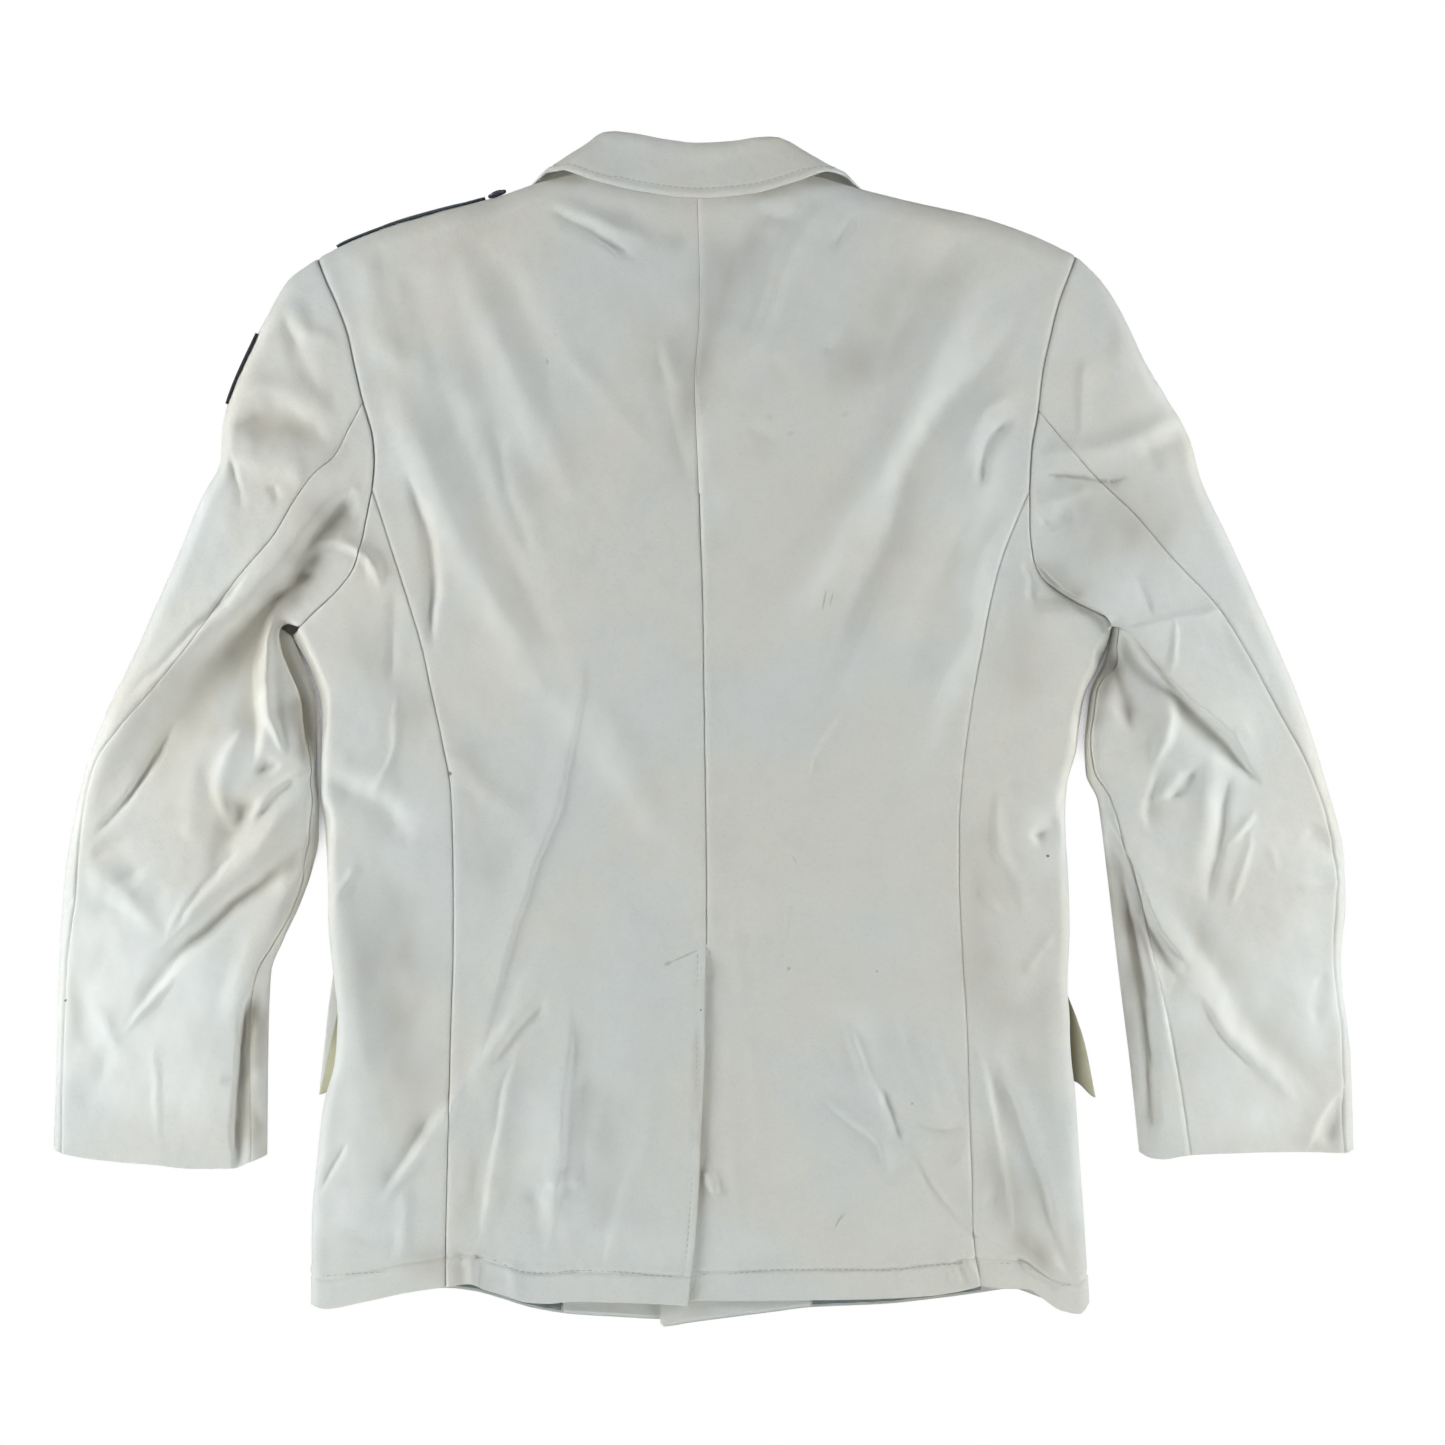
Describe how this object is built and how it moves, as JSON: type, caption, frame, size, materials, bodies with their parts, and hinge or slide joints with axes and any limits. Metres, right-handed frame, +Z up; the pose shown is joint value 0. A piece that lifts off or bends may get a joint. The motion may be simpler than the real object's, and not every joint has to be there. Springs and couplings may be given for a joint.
{
  "type": "army dress uniform jacket",
  "caption": "Ivory single-vent army dress uniform jacket laid face down, hollow body and sleeves, notched collar, flap pockets and shoulder boards.",
  "frame": {"origin": "centre of the jacket's bounding box, on the surface that it lies on", "axes": "+Z up from the surface through the fronts to the back; +Y from hem to collar; +X from the wearer's left sleeve to the right one"},
  "size_m": [0.888, 0.8121, 0.0278],
  "materials": {
    "ivory_gabardine": "matt fine twill",
    "grey_lining": "satin",
    "slate_board": "felted",
    "dark_patch": "embroidered",
    "gilt_metal": "satin"
  },
  "bodies": {
    "root": {"back_left": "ivory_gabardine", "back_right": "ivory_gabardine", "side_left": "ivory_gabardine", "side_right": "ivory_gabardine", "front_left": "ivory_gabardine", "front_right": "ivory_gabardine", "facing_left": "ivory_gabardine", "facing_right": "ivory_gabardine", "lining_left": "grey_lining", "lining_right": "grey_lining", "collar_fall": "ivory_gabardine", "collar_stand": "ivory_gabardine", "lapel_left": "ivory_gabardine", "lapel_right": "ivory_gabardine", "sleeve_left_top": "ivory_gabardine", "sleeve_left_under": "ivory_gabardine", "sleeve_right_top": "ivory_gabardine", "sleeve_right_under": "ivory_gabardine", "flap_left": "ivory_gabardine", "flap_right": "ivory_gabardine", "epaulette_left": "slate_board", "epaulette_right": "slate_board", "sleeve_patch": "dark_patch", "epaulette_button_left": "gilt_metal", "epaulette_button_right": "gilt_metal", "front_button_1": "gilt_metal", "front_button_2": "gilt_metal", "front_button_3": "gilt_metal", "front_button_4": "gilt_metal"}
  },
  "joints": []
}
